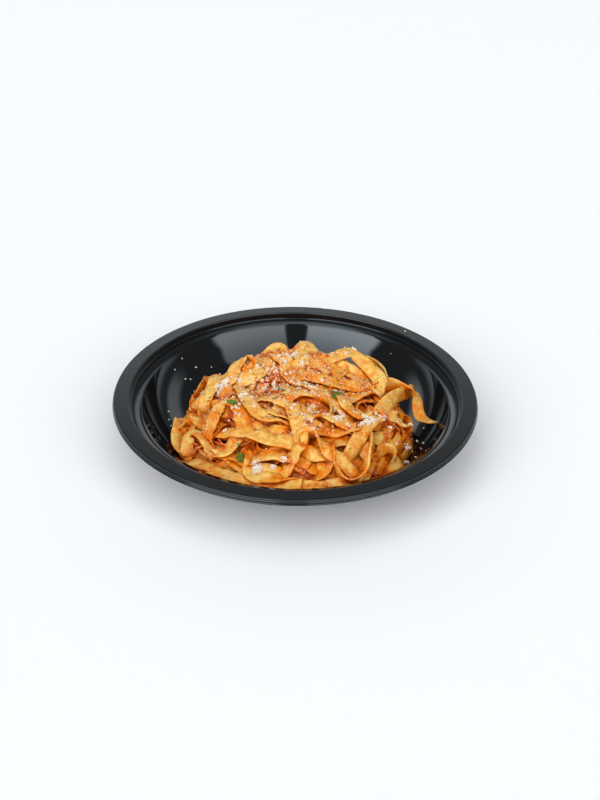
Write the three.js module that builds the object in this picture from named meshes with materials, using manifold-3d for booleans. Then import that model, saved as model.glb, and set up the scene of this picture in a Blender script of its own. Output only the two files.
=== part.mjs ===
// A shallow black takeaway bowl with a wide flange, filled with a heap of flat ribbon pasta.
// Millimetres, +Z up. The origin is the centre of the circle that the bowl stands on.

import * as THREE from 'three';
import { mergeVertices } from 'three/addons/utils/BufferGeometryUtils.js';
import Module from 'manifold-3d';

const wasm = await Module();
wasm.setup();

// ---- Driving dimensions of the bowl ----
const RIM_RADIUS = 114.3;         // lower edge of the turned-down skirt, the widest place
const RIM_HEIGHT = 35;            // top of the flange above the table
const SKIRT_DROP = 3.5;           // how far the skirt hangs below the flange
const SKIRT_FLARE = 0.9;          // how much wider the skirt is at its lower edge
const FLANGE_INNER_RADIUS = 103.9;
const STEP_DROP = 4.5;            // from the flange down to the lid ledge
const STEP_DRAFT = 0.4;
const LEDGE_INNER_RADIUS = 96.9;
const WALL_TOP_ANGLE = 66;        // slope of the wall where it meets the ledge, degrees
const WALL_FOOT_ANGLE = 10;       // slope of the wall where it meets the floor, degrees
const SHEET = 0.9;                // thickness of the plastic
const FOOT_INNER_RADIUS = 50;     // the floor is raised inside this ring
const FOOT_RAMP = 3;
const FLOOR_RAISE = 1;
const EDGE_ROUND = 0.7;           // chamfer that stands for the rounded edges
const BOWL_SEGMENTS = 64;
const WALL_STEPS = 5;

// ---- Driving dimensions of the heap ----
const FIT_GAP = 0.3;              // clearance between the pasta and the plastic
const HEAP_X = 0;
const HEAP_Y = -16;
const HEAP_RADIUS = 73;
const HEAP_TOP = 43.5;            // height of the body of the heap; the ribbons rise above it
const HEAP_EDGE_LIFT = 3;         // how far its edge stands above the bowl's wall
const HEAP_FULLNESS_NEAR = 3;     // higher is flatter on top and steeper at the edge
const HEAP_FULLNESS_FAR = 5.2;
const HEAP_SHOULDER = 0.7;        // lower is steeper at the edge
const HEAP_LOBES = [              // waves per turn, depth as a share of the radius, phase
  [2, 0.035, 0],
  [4, 0.02, -1.05],
  [7, 0.012, 1.1],
];
const HEAP_DIMPLES = [            // waves along x and y per 100 mm, depth, phase
  [2.1, 1.3, 1.2, 0.5],
  [-1.4, 2.6, 1.0, 2.0],
];
const HEAP_SPOKES = 40;
const HEAP_RINGS = 9;
const CAVITY_TOP = 70;            // the space above the bowl that the pasta may rise into

// ---- Driving dimensions of a ribbon ----
const RIBBON_WIDTH = 9.2;
const RIBBON_THICKNESS = 2.4;
const RIBBON_SEAT = 0;            // how far the middle of a ribbon that lies on the heap sinks into it
const RIBBON_STEPS = 7;

const radians = (degrees) => degrees * Math.PI / 180;

// ---- The bowl ----

// The wall is one arc, tangent to the sloping floor and to the ledge. offset moves it outwards.
const wallFootSine = Math.sin(radians(WALL_FOOT_ANGLE));
const wallFootCosine = Math.cos(radians(WALL_FOOT_ANGLE));
const wallTopZ = RIM_HEIGHT - STEP_DROP;
const wallArcRadius = (wallTopZ - SHEET) / (wallFootCosine - Math.cos(radians(WALL_TOP_ANGLE)));
const wallCentreR = LEDGE_INNER_RADIUS - wallArcRadius * Math.sin(radians(WALL_TOP_ANGLE));
const wallCentreZ = SHEET + wallArcRadius * wallFootCosine;
const floorRadius = wallCentreR + wallArcRadius * wallFootSine;

function wallArc(offset, steps) {
  const points = [];
  for (let i = 0; i <= steps; i += 1) {
    const angle = radians(WALL_FOOT_ANGLE + (WALL_TOP_ANGLE - WALL_FOOT_ANGLE) * i / steps);
    const radius = wallArcRadius + offset;
    points.push([wallCentreR + radius * Math.sin(angle), wallCentreZ - radius * Math.cos(angle)]);
  }
  return points;
}

// Height of the bowl's inner face at a distance from its axis.
function wallHeight(distance) {
  if (distance <= floorRadius) {
    return SHEET;
  }
  const reach = Math.min(distance - wallCentreR, wallArcRadius * Math.sin(radians(WALL_TOP_ANGLE)));
  return wallCentreZ - Math.sqrt(wallArcRadius ** 2 - reach ** 2);
}

// Turns [radius, height] points round the Z axis. They run outwards over the top and back below.
function lathe(profile, segments) {
  const points = profile.map(([r, z]) => new THREE.Vector2(r, z)).reverse();
  const geometry = new THREE.LatheGeometry(points, segments);
  geometry.rotateX(Math.PI / 2);
  return geometry;
}

function bowlGeometry() {
  const flangeOuter = RIM_RADIUS - SKIRT_FLARE - EDGE_ROUND;
  const skirtBottom = RIM_HEIGHT - SKIRT_DROP;
  const ledgeZ = RIM_HEIGHT - STEP_DROP;
  const inside = [
    [0, SHEET + FLOOR_RAISE],
    [FOOT_INNER_RADIUS - FOOT_RAMP, SHEET + FLOOR_RAISE],
    [FOOT_INNER_RADIUS, SHEET],
    ...wallArc(0, WALL_STEPS),
    [FLANGE_INNER_RADIUS - STEP_DRAFT, ledgeZ],
    [FLANGE_INNER_RADIUS, RIM_HEIGHT - EDGE_ROUND],
    [FLANGE_INNER_RADIUS + EDGE_ROUND, RIM_HEIGHT],
    [flangeOuter, RIM_HEIGHT],
    [flangeOuter + EDGE_ROUND, RIM_HEIGHT - EDGE_ROUND],
    [RIM_RADIUS, skirtBottom],
  ];
  const outside = [
    [RIM_RADIUS - SHEET, skirtBottom],
    [flangeOuter - SHEET / 2, RIM_HEIGHT - SHEET],
    [FLANGE_INNER_RADIUS + SHEET, RIM_HEIGHT - SHEET],
    [FLANGE_INNER_RADIUS + SHEET - STEP_DRAFT, ledgeZ - SHEET],
    [LEDGE_INNER_RADIUS + SHEET, ledgeZ - SHEET],
    ...wallArc(SHEET, WALL_STEPS).reverse(),
    [FOOT_INNER_RADIUS, 0],
    [FOOT_INNER_RADIUS - FOOT_RAMP, FLOOR_RAISE],
    [0, FLOOR_RAISE],
  ];
  return lathe([...inside, ...outside], BOWL_SEGMENTS);
}

// ---- Solids for cutting and joining ----

function toManifold(geometry) {
  const bare = geometry.clone();
  bare.deleteAttribute('normal');
  bare.deleteAttribute('uv');
  const merged = mergeVertices(bare, 1e-4);
  return new wasm.Manifold(new wasm.Mesh({
    numProp: 3,
    vertProperties: new Float32Array(merged.attributes.position.array),
    triVerts: new Uint32Array(merged.index.array),
  }));
}

function toGeometry(solid) {
  const mesh = solid.getMesh();
  const geometry = new THREE.BufferGeometry();
  geometry.setAttribute('position', new THREE.BufferAttribute(mesh.vertProperties, 3));
  geometry.setIndex(new THREE.BufferAttribute(mesh.triVerts, 1));
  geometry.computeVertexNormals();
  return geometry;
}

// The room inside the bowl, less the clearance, and the air above it.
function cavityGeometry() {
  return lathe([
    [0, CAVITY_TOP],
    [LEDGE_INNER_RADIUS - FIT_GAP, CAVITY_TOP],
    ...wallArc(-FIT_GAP, WALL_STEPS).reverse(),
    [FOOT_INNER_RADIUS, SHEET + FIT_GAP],
    [FOOT_INNER_RADIUS - FOOT_RAMP, SHEET + FLOOR_RAISE + FIT_GAP],
    [0, SHEET + FLOOR_RAISE + FIT_GAP],
  ], BOWL_SEGMENTS);
}

// ---- The body of the heap ----

function heapReach(angle) {
  const waves = HEAP_LOBES.map(([count, depth, phase]) => depth * Math.cos(count * angle + phase));
  return HEAP_RADIUS * (1 + waves.reduce((sum, wave) => sum + wave, 0));
}

function dimple(x, y) {
  const waves = HEAP_DIMPLES.map(([alongX, alongY, depth, phase]) => (
    depth * Math.sin(2 * Math.PI * (alongX * x + alongY * y) / 100 + phase)
  ));
  return waves.reduce((sum, wave) => sum + wave, 0);
}

// Height of the body of the heap above the table.
function heapHeight(x, y) {
  const away = Math.hypot(x - HEAP_X, y - HEAP_Y);
  const angle = Math.atan2(y - HEAP_Y, x - HEAP_X);
  const share = Math.min(away / heapReach(angle), 1);
  const fullness = HEAP_FULLNESS_NEAR + (HEAP_FULLNESS_FAR - HEAP_FULLNESS_NEAR) * Math.max(Math.sin(angle), 0);
  const shoulder = (1 - share ** fullness) ** HEAP_SHOULDER;
  const edge = wallHeight(Math.hypot(x, y)) + HEAP_EDGE_LIFT;
  return edge + (HEAP_TOP + dimple(x, y) - edge) * shoulder;
}

// A closed body of rings and spokes: the uneven top and a flat underside below the bowl's floor.
function heapGeometry() {
  const positions = [HEAP_X, HEAP_Y, heapHeight(HEAP_X, HEAP_Y)];
  for (let ring = 1; ring <= HEAP_RINGS; ring += 1) {
    const share = (ring / HEAP_RINGS) ** 0.75;
    for (let spoke = 0; spoke < HEAP_SPOKES; spoke += 1) {
      const angle = 2 * Math.PI * spoke / HEAP_SPOKES;
      const x = HEAP_X + heapReach(angle) * share * Math.cos(angle);
      const y = HEAP_Y + heapReach(angle) * share * Math.sin(angle);
      positions.push(x, y, heapHeight(x, y));
    }
  }
  const rimStart = 1 + (HEAP_RINGS - 1) * HEAP_SPOKES;
  const underStart = positions.length / 3;
  for (let spoke = 0; spoke < HEAP_SPOKES; spoke += 1) {
    const vertex = 3 * (rimStart + spoke);
    positions.push(positions[vertex], positions[vertex + 1], 0);
  }
  const underCentre = positions.length / 3;
  positions.push(HEAP_X, HEAP_Y, 0);

  const index = [];
  for (let spoke = 0; spoke < HEAP_SPOKES; spoke += 1) {
    const next = (spoke + 1) % HEAP_SPOKES;
    index.push(0, 1 + spoke, 1 + next);
    for (let ring = 0; ring < HEAP_RINGS - 1; ring += 1) {
      const inner = 1 + ring * HEAP_SPOKES;
      const outer = inner + HEAP_SPOKES;
      index.push(inner + spoke, outer + spoke, outer + next);
      index.push(inner + spoke, outer + next, inner + next);
    }
    index.push(rimStart + spoke, underStart + spoke, underStart + next);
    index.push(rimStart + spoke, underStart + next, rimStart + next);
    index.push(underCentre, underStart + next, underStart + spoke);
  }
  const geometry = new THREE.BufferGeometry();
  geometry.setAttribute('position', new THREE.Float32BufferAttribute(positions, 3));
  geometry.setIndex(index);
  return geometry;
}

// ---- Ribbons ----

// A closed strip of flat pasta along a path. lean is 0 where it lies flat and 90 where it stands on edge.
function ribbonGeometry(pathPoint, leanStart, leanEnd) {
  const positions = [];
  const up = new THREE.Vector3(0, 0, 1);
  for (let i = 0; i <= RIBBON_STEPS; i += 1) {
    const t = i / RIBBON_STEPS;
    const centre = pathPoint(t);
    const ahead = pathPoint(t + 0.01).sub(pathPoint(t - 0.01)).normalize();
    const side = new THREE.Vector3().crossVectors(ahead, up).normalize();
    const over = new THREE.Vector3().crossVectors(side, ahead).normalize();
    const lean = radians(leanStart + (leanEnd - leanStart) * t);
    const across = side.clone().multiplyScalar(Math.cos(lean)).addScaledVector(over, Math.sin(lean));
    const through = over.clone().multiplyScalar(Math.cos(lean)).addScaledVector(side, -Math.sin(lean));
    for (const [a, b] of [[-1, -1], [1, -1], [1, 1], [-1, 1]]) {
      const corner = centre.clone()
        .addScaledVector(across, a * RIBBON_WIDTH / 2)
        .addScaledVector(through, b * RIBBON_THICKNESS / 2);
      positions.push(corner.x, corner.y, corner.z);
    }
  }
  const index = [0, 1, 2, 0, 2, 3];
  for (let i = 0; i < RIBBON_STEPS; i += 1) {
    for (let k = 0; k < 4; k += 1) {
      const a = 4 * i + k;
      const b = 4 * i + (k + 1) % 4;
      index.push(a, a + 4, b + 4, a, b + 4, b);
    }
  }
  const end = 4 * RIBBON_STEPS;
  index.push(end, end + 2, end + 1, end, end + 3, end + 2);
  const geometry = new THREE.BufferGeometry();
  geometry.setAttribute('position', new THREE.Float32BufferAttribute(positions, 3));
  geometry.setIndex(index);
  return geometry;
}

// A strand from one place on the heap to another. bow pushes its middle sideways, rise lifts it.
function strand({ from, to, bow = 0, rise = 0, lean = [0, 0], seat = RIBBON_SEAT }) {
  const start = new THREE.Vector2(...from);
  const span = new THREE.Vector2(...to).sub(start);
  const sideways = new THREE.Vector2(-span.y, span.x).normalize();
  const pathPoint = (t) => {
    const hump = 4 * t * (1 - t);
    const place = start.clone().addScaledVector(span, t).addScaledVector(sideways, bow * hump);
    return new THREE.Vector3(place.x, place.y, heapHeight(place.x, place.y) - seat + rise * hump);
  };
  return ribbonGeometry(pathPoint, ...lean);
}

// A strand that turns round a centre, such as a loop that lies open on the heap.
function curl({ centre, radius, start, sweep, rise = 0, lean = [70, 70], seat = RIBBON_SEAT }) {
  const pathPoint = (t) => {
    const angle = radians(start + sweep * t);
    const x = centre[0] + radius * Math.cos(angle);
    const y = centre[1] + radius * Math.sin(angle);
    return new THREE.Vector3(x, y, heapHeight(x, y) - seat + rise * Math.sin(Math.PI * t));
  };
  return ribbonGeometry(pathPoint, ...lean);
}

const STRANDS = [
  { from: [-40, -2], to: [-21, 1], bow: 15, rise: 7, lean: [0, 50] },        // hoop at the far left
  { from: [-58, 12], to: [-42, 0], bow: 11, rise: 7, lean: [0, 50] },        // lower hoop beside it
  { from: [-27, 9], to: [-5, 17], bow: 14, rise: 7, lean: [-30, -40] },      // hoop at the back
  { from: [0, 21], to: [11, 20], bow: 11, rise: 8.5, lean: [5, -10] },       // second hoop at the back
  { from: [8, 11], to: [56, 6], bow: 15, rise: 11, lean: [-15, -40] },       // arch at the far right
  { from: [52, 27], to: [54, 0], bow: 7, rise: 11, lean: [70, 60] },
  { from: [53, 4], to: [87, -9], bow: 8, rise: 19, lean: [85, 10] },         // strand over the right edge
  { from: [72, 10], to: [52, -25], bow: 2, rise: 8, lean: [60, 30] },
  { from: [53, -8], to: [71, -18], bow: -10, rise: 1, lean: [0, 40] },
  { from: [-8, 12], to: [51, 7], bow: -13, rise: 4, lean: [-10, -30] },      // long strand across the top
  { from: [30, -20], to: [57, 4], bow: -3, rise: 1, lean: [-10, -30] },
  { from: [-8, 19], to: [7, -14], bow: -5, rise: 3, lean: [0, 0] },
  { from: [-37, -5], to: [-17, 9], bow: -3, rise: 1, lean: [0, 0] },
  { from: [-7, -34], to: [27, -33], bow: 9, rise: 4, lean: [0, 10] },        // bridge in the middle
  { from: [-50, 4], to: [-56, -24], bow: -4, rise: 1, lean: [0, 60] },
  { from: [-33, -16], to: [-8, -47], bow: -8, rise: 1, lean: [0, 5] },
  { from: [-50, -42], to: [-30, -46], bow: 18, rise: 2, lean: [30, 0] },     // arch that lies on the left slope
  { from: [-49, -43], to: [-5, -61], bow: -3, rise: 2, lean: [15, 0] },
  { from: [-34, -54], to: [-55, -50], bow: 8, rise: 1, lean: [0, -15] },
  { from: [-60, -60], to: [-30, -78], bow: 0, rise: 1, lean: [-5, 0] },
  { from: [-26, -70], to: [-3, -83], bow: -5, rise: 1, lean: [40, 0] },
  { from: [-28, -74], to: [-4, -71], bow: 4, rise: 4, lean: [40, -20] },
  { from: [1, -49], to: [-8, -81], bow: 4, rise: 2, lean: [0, -20] },        // strand that hangs down the front
  { from: [16, -59], to: [31, -71], bow: 2, rise: 1, lean: [0, 0] },
  { from: [12, -53], to: [34, -48], bow: -2, rise: 1, lean: [-10, 0] },
  { from: [45, -38], to: [27, -72], bow: 2, rise: 2, lean: [0, 40] },        // strand that lies on the slope
  { from: [23, -72], to: [44, -65], bow: -12, rise: 0, lean: [75, 65] },
  { from: [-56, 16], to: [-16, 46], bow: 7, rise: 0, lean: [45, 45] },       // strands that lie on the steep far side
  { from: [-8, 42], to: [44, 36], bow: 4, rise: 1, lean: [40, 45] },
];

const CURLS = [
  { centre: [12, -66], radius: 8, start: 20, sweep: 250, rise: 3, lean: [20, 80] },      // open ring near the front
  { centre: [54, -59], radius: 8, start: 180, sweep: -250, rise: 4, lean: [60, 20] },    // open loop near the front
  { centre: [-62, -43], radius: 10, start: 150, sweep: 200, rise: 2, lean: [30, 60] },   // fold at the left edge
];

function pastaGeometry() {
  let solid = toManifold(heapGeometry());
  for (const geometry of [...STRANDS.map(strand), ...CURLS.map(curl)]) {
    solid = solid.add(toManifold(geometry));
  }
  const trimmed = solid.intersect(toManifold(cavityGeometry()));
  // The outer skin alone, so that a pocket shut in between crossing ribbons is filled.
  const skins = trimmed.decompose();
  return toGeometry(skins.reduce((largest, skin) => (skin.volume() > largest.volume() ? skin : largest)));
}

// ---- The scene graph ----

function named(name, geometry, material) {
  const mesh = new THREE.Mesh(geometry, material);
  mesh.name = name;
  return mesh;
}

const plastic = new THREE.MeshStandardMaterial({ color: 0x121416, roughness: 0.22, metalness: 0 });
const pasta = new THREE.MeshStandardMaterial({ color: 0xe3a04a, roughness: 0.45, metalness: 0 });

const part = new THREE.Group();
part.add(named('bowl', bowlGeometry(), plastic));
part.add(named('pasta_heap', pastaGeometry(), pasta));

export default part;
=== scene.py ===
"""A black round takeaway bowl of tagliatelle in tomato sauce, with grated cheese and herbs.

The bowl is turned from the same sizes as the CAD part. The pasta is a heap of flat ribbons: loose strands are
dropped on a mound of sauced pasta, then the strands that show on top are lowered onto them, all by a small
position-based simulation. Cheese, herbs and bits of tomato are strewn on what lies on top.
Sizes are in millimetres until a mesh is made.
"""

import math

import bpy
import numpy as np
from mathutils import Matrix, Vector
from mathutils.bvhtree import BVHTree


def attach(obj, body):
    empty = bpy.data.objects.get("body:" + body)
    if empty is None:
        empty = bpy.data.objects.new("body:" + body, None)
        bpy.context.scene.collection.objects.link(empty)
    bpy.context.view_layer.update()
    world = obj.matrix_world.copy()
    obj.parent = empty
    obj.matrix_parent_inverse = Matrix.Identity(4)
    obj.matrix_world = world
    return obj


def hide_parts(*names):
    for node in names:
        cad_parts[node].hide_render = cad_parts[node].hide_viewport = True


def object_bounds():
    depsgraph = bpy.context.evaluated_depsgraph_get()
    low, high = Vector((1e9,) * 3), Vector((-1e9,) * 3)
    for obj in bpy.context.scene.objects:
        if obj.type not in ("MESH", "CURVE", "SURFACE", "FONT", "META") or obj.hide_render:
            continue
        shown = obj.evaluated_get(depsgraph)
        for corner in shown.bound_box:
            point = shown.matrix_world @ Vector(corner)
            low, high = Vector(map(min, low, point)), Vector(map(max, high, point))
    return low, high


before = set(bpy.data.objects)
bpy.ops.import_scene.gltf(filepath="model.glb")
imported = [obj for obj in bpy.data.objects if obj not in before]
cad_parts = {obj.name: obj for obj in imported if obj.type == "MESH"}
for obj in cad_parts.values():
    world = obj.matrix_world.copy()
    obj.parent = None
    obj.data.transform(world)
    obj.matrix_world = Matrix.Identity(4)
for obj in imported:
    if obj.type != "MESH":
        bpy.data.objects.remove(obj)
CAD_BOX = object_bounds()

MM = 0.001
rng = np.random.default_rng(11)

# ---------------------------------------------------------------- sizes of the bowl
RIM_RADIUS = 114.3
RIM_HEIGHT = 35.0
SKIRT_DROP = 3.5
SKIRT_FLARE = 0.9
FLANGE_INNER = 103.9
STEP_DROP = 4.5
STEP_DRAFT = 0.4
LEDGE_INNER = 96.9
WALL_TOP = math.radians(66)
WALL_FOOT = math.radians(10)
SHEET = 0.9
FOOT_INNER = 50.0
FOOT_RAMP = 3.0
FLOOR_RAISE = 1.0

LEDGE_Z = RIM_HEIGHT - STEP_DROP
ARC = (LEDGE_Z - SHEET) / (math.cos(WALL_FOOT) - math.cos(WALL_TOP))
ARC_R = LEDGE_INNER - ARC * math.sin(WALL_TOP)
ARC_Z = SHEET + ARC * math.cos(WALL_FOOT)
FLOOR_RADIUS = ARC_R + ARC * math.sin(WALL_FOOT)

# ---------------------------------------------------------------- sizes of the heap
HEAP_X, HEAP_Y, HEAP_RADIUS = 0.0, -16.0, 73.0
HEAP_LOBES = ((2, 0.035, 0.0), (4, 0.02, -1.05), (7, 0.012, 1.1))
CORE_TOP = 38.0
CORE_INSET = 9.0
BEAD = 0.62             # radius of the two ribs round the skirt
RIDGE = 5.0             # how much higher the heap is towards its far side
HIGHEST = CAD_BOX[1][2] / MM + 1.3

RIBBON_HALF = 4.6      # half its width
RIBBON_THICK = 0.70    # half its thickness
RAIL = 3.1             # from its middle to each outer rail of the simulation
STEP = 2.8             # between rows along it
CONTACT = 2.4          # nearest that two rows of different ribbons come


# ---------------------------------------------------------------- surfaces that the pasta lies on
def wall_height(d):
    """Height of the bowl's inner face at a distance from its axis."""
    reach = np.clip(d - ARC_R, 0, ARC * math.sin(WALL_TOP))
    return np.where(d <= FLOOR_RADIUS, SHEET, ARC_Z - np.sqrt(ARC ** 2 - reach ** 2))


def floor_height(d):
    """wall_height() with the raised middle of the bowl's base."""
    middle = SHEET + FLOOR_RAISE * np.clip((FOOT_INNER - d) / FOOT_RAMP, 0, 1)
    return np.maximum(wall_height(d), middle)


def heap_reach(a):
    """Distance of the heap's outline from its centre, by direction."""
    return HEAP_RADIUS * (1 + sum(depth * np.cos(n * a + phase) for n, depth, phase in HEAP_LOBES))


def mound(x, y, top, edge, inset, sharp=0.7):
    """Height of a mound inside the outline. Its far side is fuller than its near side."""
    dx, dy = x - HEAP_X, y - HEAP_Y
    a = np.arctan2(dy, dx)
    full = 3.0 + 2.2 * np.maximum(0, np.sin(a))
    s = np.clip(np.hypot(dx, dy) / (heap_reach(a) - inset), 0, 1)
    low = wall_height(np.hypot(x, y)) + edge
    high = top + RIDGE * np.exp(-((x - 10) / 42) ** 2 - ((y - 24) / 20) ** 2)
    return np.where(s < 1, low + (high - low) * (1 - s ** full) ** sharp, -50.0)


def core_height(x, y):
    return mound(x, y, CORE_TOP, 0.5, CORE_INSET)


# ---------------------------------------------------------------- ribbons, as strips of three rails
def smooth_noise(rows, scale, count):
    """count rows of smooth random values with about unit spread."""
    k = max(4, int(math.ceil(rows / scale)) + 3)
    c = rng.normal(size=(count, k))
    t = np.linspace(0, k - 3.001, rows)
    i = np.minimum(t.astype(int), k - 4)
    f = t - i
    w = [(1 - f) ** 3 / 6, (3 * f ** 3 - 6 * f ** 2 + 4) / 6, (-3 * f ** 3 + 3 * f ** 2 + 3 * f + 1) / 6, f ** 3 / 6]
    return sum(w[j] * c[:, i + j] for j in range(4)) * 1.4


def unit(v):
    return v / np.maximum(np.linalg.norm(v, axis=-1, keepdims=True), 1e-9)


def loose_ribbons(count, rows):
    """Curly strips that bend mostly across their flat side, turned so that they lie down."""
    bend = smooth_noise(rows, 11, count) * 0.046 + smooth_noise(rows, 30, count) * 0.022
    curve = smooth_noise(rows, 16, count) * 0.009
    twist = smooth_noise(rows, 13, count) * 0.030
    T = np.tile([1.0, 0, 0], (count, 1))
    roll = rng.uniform(0, 2 * np.pi, count)[:, None]
    N = np.cos(roll) * np.array([0, 0, 1.0]) + np.sin(roll) * np.array([0, 1.0, 0])
    centre = np.zeros((count, rows, 3))
    across = np.zeros((count, rows, 3))
    p = np.zeros((count, 3))
    for i in range(rows):
        B = np.cross(T, N)
        centre[:, i], across[:, i] = p, B
        a, b, c = bend[:, i, None] * STEP, curve[:, i, None] * STEP, twist[:, i, None] * STEP
        T2 = unit(T + a * N + b * B)
        N2 = N - a * T + c * B
        N = unit(N2 - (N2 * T2).sum(1, keepdims=True) * T2)
        T = T2
        p = p + T * STEP
    centre -= centre.mean(1, keepdims=True)
    strips = np.zeros((count, rows, 3, 3))
    for k in range(count):
        axes = np.linalg.svd(centre[k], full_matrices=False)[2]
        if np.linalg.det(axes) < 0:
            axes[0] *= -1
        turn = rng.uniform(0, 2 * np.pi)
        spin = np.array([[math.cos(turn), -math.sin(turn), 0], [math.sin(turn), math.cos(turn), 0], [0, 0, 1]])
        M = (spin @ axes).T
        for j, off in enumerate((-RAIL, 0, RAIL)):
            strips[k, :, j] = centre[k] @ M + across[k] @ M * off
    return strips


def along(points, t):
    """A Catmull-Rom curve through points, at t from 0 to len(points) - 1."""
    P = np.vstack([2 * points[0] - points[1], points, 2 * points[-1] - points[-2]])
    i = np.clip(t.astype(int), 0, len(points) - 2)
    f = (t - i)[:, None]
    a, b, c, d = P[i], P[i + 1], P[i + 2], P[i + 3]
    return 0.5 * (2 * b + (c - a) * f + (2 * a - 5 * b + 4 * c - d) * f ** 2 + (3 * b - a - 3 * c + d) * f ** 3)


def placed_ribbon(points, dive):
    """A strip along given (x, y, z, lean) points, with ends that dive into the heap. Lean is 0 flat, 90 on edge."""
    P = np.array(points, float)
    t = np.linspace(0, len(P) - 1, 400)
    dense = along(P, t)
    run = np.concatenate([[0], np.cumsum(np.linalg.norm(np.diff(dense[:, :3], axis=0), axis=1))])
    rows = max(4, int(round(run[-1] / STEP)) + 1)
    even = np.linspace(0, run[-1], rows)
    Q = np.stack([np.interp(even, run, dense[:, k]) for k in range(4)], 1)
    wave = smooth_noise(rows, 5, 2)
    centre = Q[:, :3] + np.stack([np.zeros(rows), np.zeros(rows), 1.0 * wave[0]], 1)
    lean = Q[:, 3] + 14 * wave[1]
    held = np.ones(rows)
    for end in (0, 1):
        count = int(dive[end] / STEP)
        if end == 0:
            centre, lean, held = centre[::-1], lean[::-1], held[::-1]
        d = unit(centre[-1] - centre[-3])
        extra = []
        p = centre[-1]
        for _ in range(count):
            d = unit(d + np.array([0, 0, -0.20]))
            p = p + d * STEP
            extra.append(p)
        if extra:
            centre = np.vstack([centre, extra])
            lean = np.concatenate([lean, np.full(count, lean[-1])])
            held = np.concatenate([held, np.linspace(0.5, 0.15, count)])
        if end == 0:
            centre, lean, held = centre[::-1], lean[::-1], held[::-1]
    T = unit(np.gradient(centre, axis=0))
    side = unit(np.cross(T, [0, 0, 1.0]) + 1e-6)
    for i in range(1, len(side)):          # no sudden flips where the path turns steep
        if (side[i] * side[i - 1]).sum() < 0 and abs(T[i][2]) > 0.9:
            side[i] = -side[i]
    over = np.cross(side, T)
    a = np.radians(lean)[:, None]
    across = np.cos(a) * side + np.sin(a) * over
    for _ in range(3):
        across[1:-1] = unit(across[:-2] + 2 * across[1:-1] + across[2:])
    across = unit(across - (across * T).sum(1, keepdims=True) * T)
    strip = np.stack([centre - across * RAIL, centre, centre + across * RAIL], 1)
    return strip, held


class Batch:
    """Strips of equal row count. alive marks the rows that exist; targets pull their rows to a wanted place."""

    def __init__(self, P, alive=None, targets=None, pull=None):
        self.P = P
        self.Q = P.copy()
        self.alive = np.ones(P.shape[:2], bool) if alive is None else alive
        self.mask = np.repeat(self.alive[..., None], 3, 2).reshape(-1)
        on = self.alive.astype(float)
        R = P if targets is None else targets
        far = lambda A, B: np.linalg.norm(A - B, axis=-1)
        self.w1 = (on[:, 1:] * on[:, :-1])[..., None]
        self.w2 = (on[:, 2:] * on[:, :-2])[..., None]
        self.w5 = (on[:, 5:] * on[:, :-5])[..., None]
        self.w0 = on[..., None]
        self.long = far(R[:, 1:], R[:, :-1])
        self.cross = far(R[:, :, 1:], R[:, :, :-1])
        self.wide = far(R[:, :, 2], R[:, :, 0])
        self.dia1 = far(R[:, 1:, 1:], R[:, :-1, :-1])
        self.dia2 = far(R[:, 1:, :-1], R[:, :-1, 1:])
        self.two = far(R[:, 2:], R[:, :-2])
        self.five = far(R[:, 5:], R[:, :-5])
        self.targets, self.pull = targets, pull


def tie(A, B, rest, k):
    d = B - A
    L = np.sqrt((d * d).sum(-1)) + 1e-9
    c = (0.5 * k * (L - rest) / L)[..., None] * d
    A += c
    B -= c


def hold_shape(b, stiff):
    """One pass over the lengths that keep each strip a strip."""
    P = b.P
    for s in (0, 1):
        A, B = P[:, s:-1:2], P[:, s + 1::2]
        tie(A[:, :B.shape[1]], B, b.long[:, s::2], b.w1[:, s::2])
    for j in (0, 1):
        tie(P[:, :, j], P[:, :, j + 1], b.cross[:, :, j], b.w0[..., 0])
    tie(P[:, :, 0], P[:, :, 2], b.wide, 0.9 * b.w0[..., 0])
    for s in (0, 1):
        for j in (0, 1):
            w = 0.6 * b.w1[:, s::2, 0]
            tie(P[:, s:-1:2, j], P[:, s + 1::2, j + 1], b.dia1[:, s::2, j], w)
            tie(P[:, s:-1:2, j + 1], P[:, s + 1::2, j], b.dia2[:, s::2, j], w)
    for s in range(4):
        A, B = P[:, s:-2:4], P[:, s + 2::4]
        m = min(A.shape[1], B.shape[1])
        tie(A[:, :m], B[:, :m], b.two[:, s::4][:, :m], stiff * b.w2[:, s::4][:, :m])
    for s in range(10):
        A, B = P[:, s:-5:10], P[:, s + 5::10]
        m = min(A.shape[1], B.shape[1])
        if m:
            tie(A[:, :m], B[:, :m], b.five[:, s::10][:, :m], 0.6 * stiff * b.w5[:, s::10][:, :m])


def near_pairs(X, ribbon, row, reach):
    """Pairs of points of different ribbons, or far apart along one, that are within reach."""
    cell = ((X - X.min(0) + reach) / reach).astype(np.int64)
    n = cell.max(0) + 2
    key = (cell[:, 0] * n[1] + cell[:, 1]) * n[2] + cell[:, 2]
    order = np.argsort(key, kind="stable")
    sorted_key = key[order]
    total = int(n[0] * n[1] * n[2])
    count = np.bincount(sorted_key, minlength=total + 1)
    start = np.concatenate([[0], np.cumsum(count)])
    first, second = [], []
    for dx in (-1, 0, 1):
        for dy in (-1, 0, 1):
            for dz in (-1, 0, 1):
                off = (dx * n[1] + dy) * n[2] + dz
                if off < 0:
                    continue
                there = sorted_key + off
                inside = (there >= 0) & (there < total)
                there = np.where(inside, there, total)
                m = np.where(inside, count[np.minimum(there, total)], 0)
                src = np.repeat(np.arange(len(sorted_key)), m)
                base = np.repeat(start[there] - np.concatenate([[0], np.cumsum(m)[:-1]]), m)
                dst = np.arange(len(src)) + base
                if off == 0:
                    keep = dst > src
                    src, dst = src[keep], dst[keep]
                first.append(order[src])
                second.append(order[dst])
    I, J = np.concatenate(first), np.concatenate(second)
    keep = (ribbon[I] != ribbon[J]) | (np.abs(row[I] - row[J]) > 3)
    I, J = I[keep], J[keep]
    d = X[I] - X[J]
    keep = (d * d).sum(1) < reach * reach
    return I[keep], J[keep]


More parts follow.
